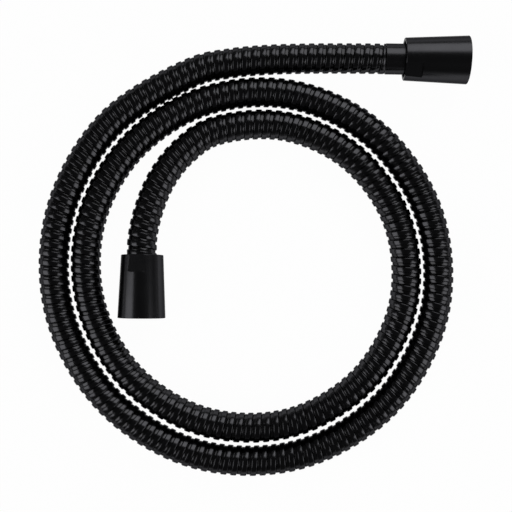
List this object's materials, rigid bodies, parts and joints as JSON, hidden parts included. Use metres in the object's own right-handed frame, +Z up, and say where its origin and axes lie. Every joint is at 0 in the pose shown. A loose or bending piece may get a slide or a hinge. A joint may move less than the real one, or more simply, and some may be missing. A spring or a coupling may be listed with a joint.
{
  "type": "shower hose",
  "caption": "Black metal shower hose lying in a flat coil, with a conical union nut at each end and a swivel sleeve at the handset's end.",
  "frame": {"origin": "on the surface that the hose lies on, under the middle of its outline", "axes": "+Z up; +X is the way the handset's nut points, and the tap's nut points along -Y"},
  "size_m": [0.2207, 0.226, 0.0244],
  "materials": {
    "casing_black": "satin black coating on interlocked steel strip",
    "nut_black": "satin black coating on brass",
    "tube_rubber": "smooth black rubber",
    "brass": "plain turned brass",
    "steel": "plain steel",
    "washer_rubber": "matt grey rubber",
    "seal_rubber": "matt black rubber",
    "bush_nylon": "black nylon"
  },
  "bodies": {
    "hose": {"hose_casing": "casing_black", "inner_tube": "tube_rubber", "tap_ferrule": "steel", "tap_hose_tail": "brass", "tap_washer": "washer_rubber", "swivel_sleeve": "nut_black", "handset_hose_tail": "brass", "swivel_clip": "steel"},
    "tap_nut": {"tap_nut": "nut_black", "tap_nut_bush": "bush_nylon"},
    "swivel": {"swivel_nipple": "brass", "swivel_o_ring_1": "seal_rubber", "swivel_o_ring_2": "seal_rubber", "handset_washer": "washer_rubber"},
    "handset_nut": {"handset_nut": "nut_black", "handset_nut_bush": "bush_nylon"}
  },
  "joints": [
    {"name": "tap_nut_spin", "type": "hinge", "parent": "hose", "child": "tap_nut", "pos_m": [-0.057, 0.0012, 0.01077], "axis": [-0.007, -0.999, 0.0443], "continuous": true},
    {"name": "swivel_spin", "type": "hinge", "parent": "hose", "child": "swivel", "pos_m": [0.0774, 0.1017, 0.01077], "axis": [0.9987, -0.0244, 0.0443], "continuous": true},
    {"name": "handset_nut_spin", "type": "hinge", "parent": "swivel", "child": "handset_nut", "pos_m": [0.0774, 0.1017, 0.01077], "axis": [0.9987, -0.0244, 0.0443], "continuous": true}
  ]
}
